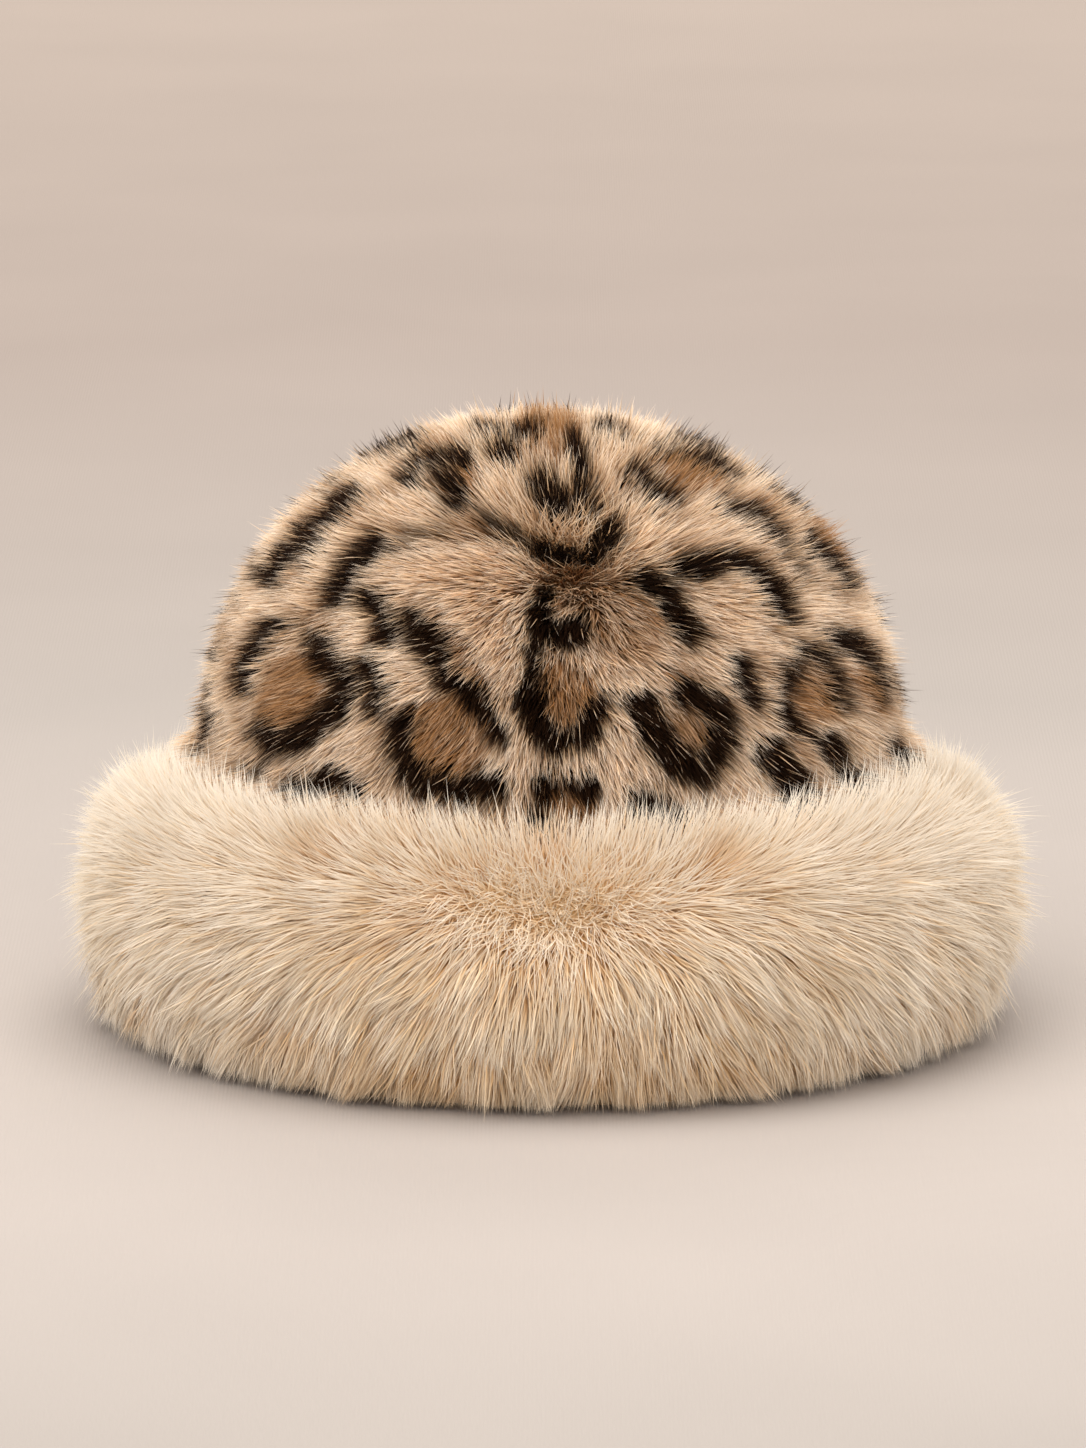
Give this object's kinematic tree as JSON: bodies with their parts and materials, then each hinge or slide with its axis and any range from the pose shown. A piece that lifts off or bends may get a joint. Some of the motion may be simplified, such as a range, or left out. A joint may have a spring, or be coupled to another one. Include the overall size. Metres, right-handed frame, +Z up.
{
  "type": "fur hat",
  "caption": "Round fur hat: a dome of printed fur gores drawn together at a gather point, with a deep turned-up fur cuff it rests on.",
  "frame": {"origin": "on the resting surface, in the middle of the head opening", "axes": "+Z up through the crown, -Y towards the hat's front, +Y along the head opening's longer side"},
  "size_m": [0.2696, 0.2776, 0.1783],
  "materials": {
    "printed_fur": "short sheared fur, printed with dark rosettes on tan",
    "cream_fur": "long soft cream fox fur"
  },
  "bodies": {
    "root": {"crown_gore_1": "printed_fur", "crown_gore_2": "printed_fur", "crown_gore_3": "printed_fur", "crown_gore_4": "printed_fur", "crown_gore_5": "printed_fur", "crown_gore_6": "printed_fur", "cuff": "cream_fur"}
  },
  "joints": []
}
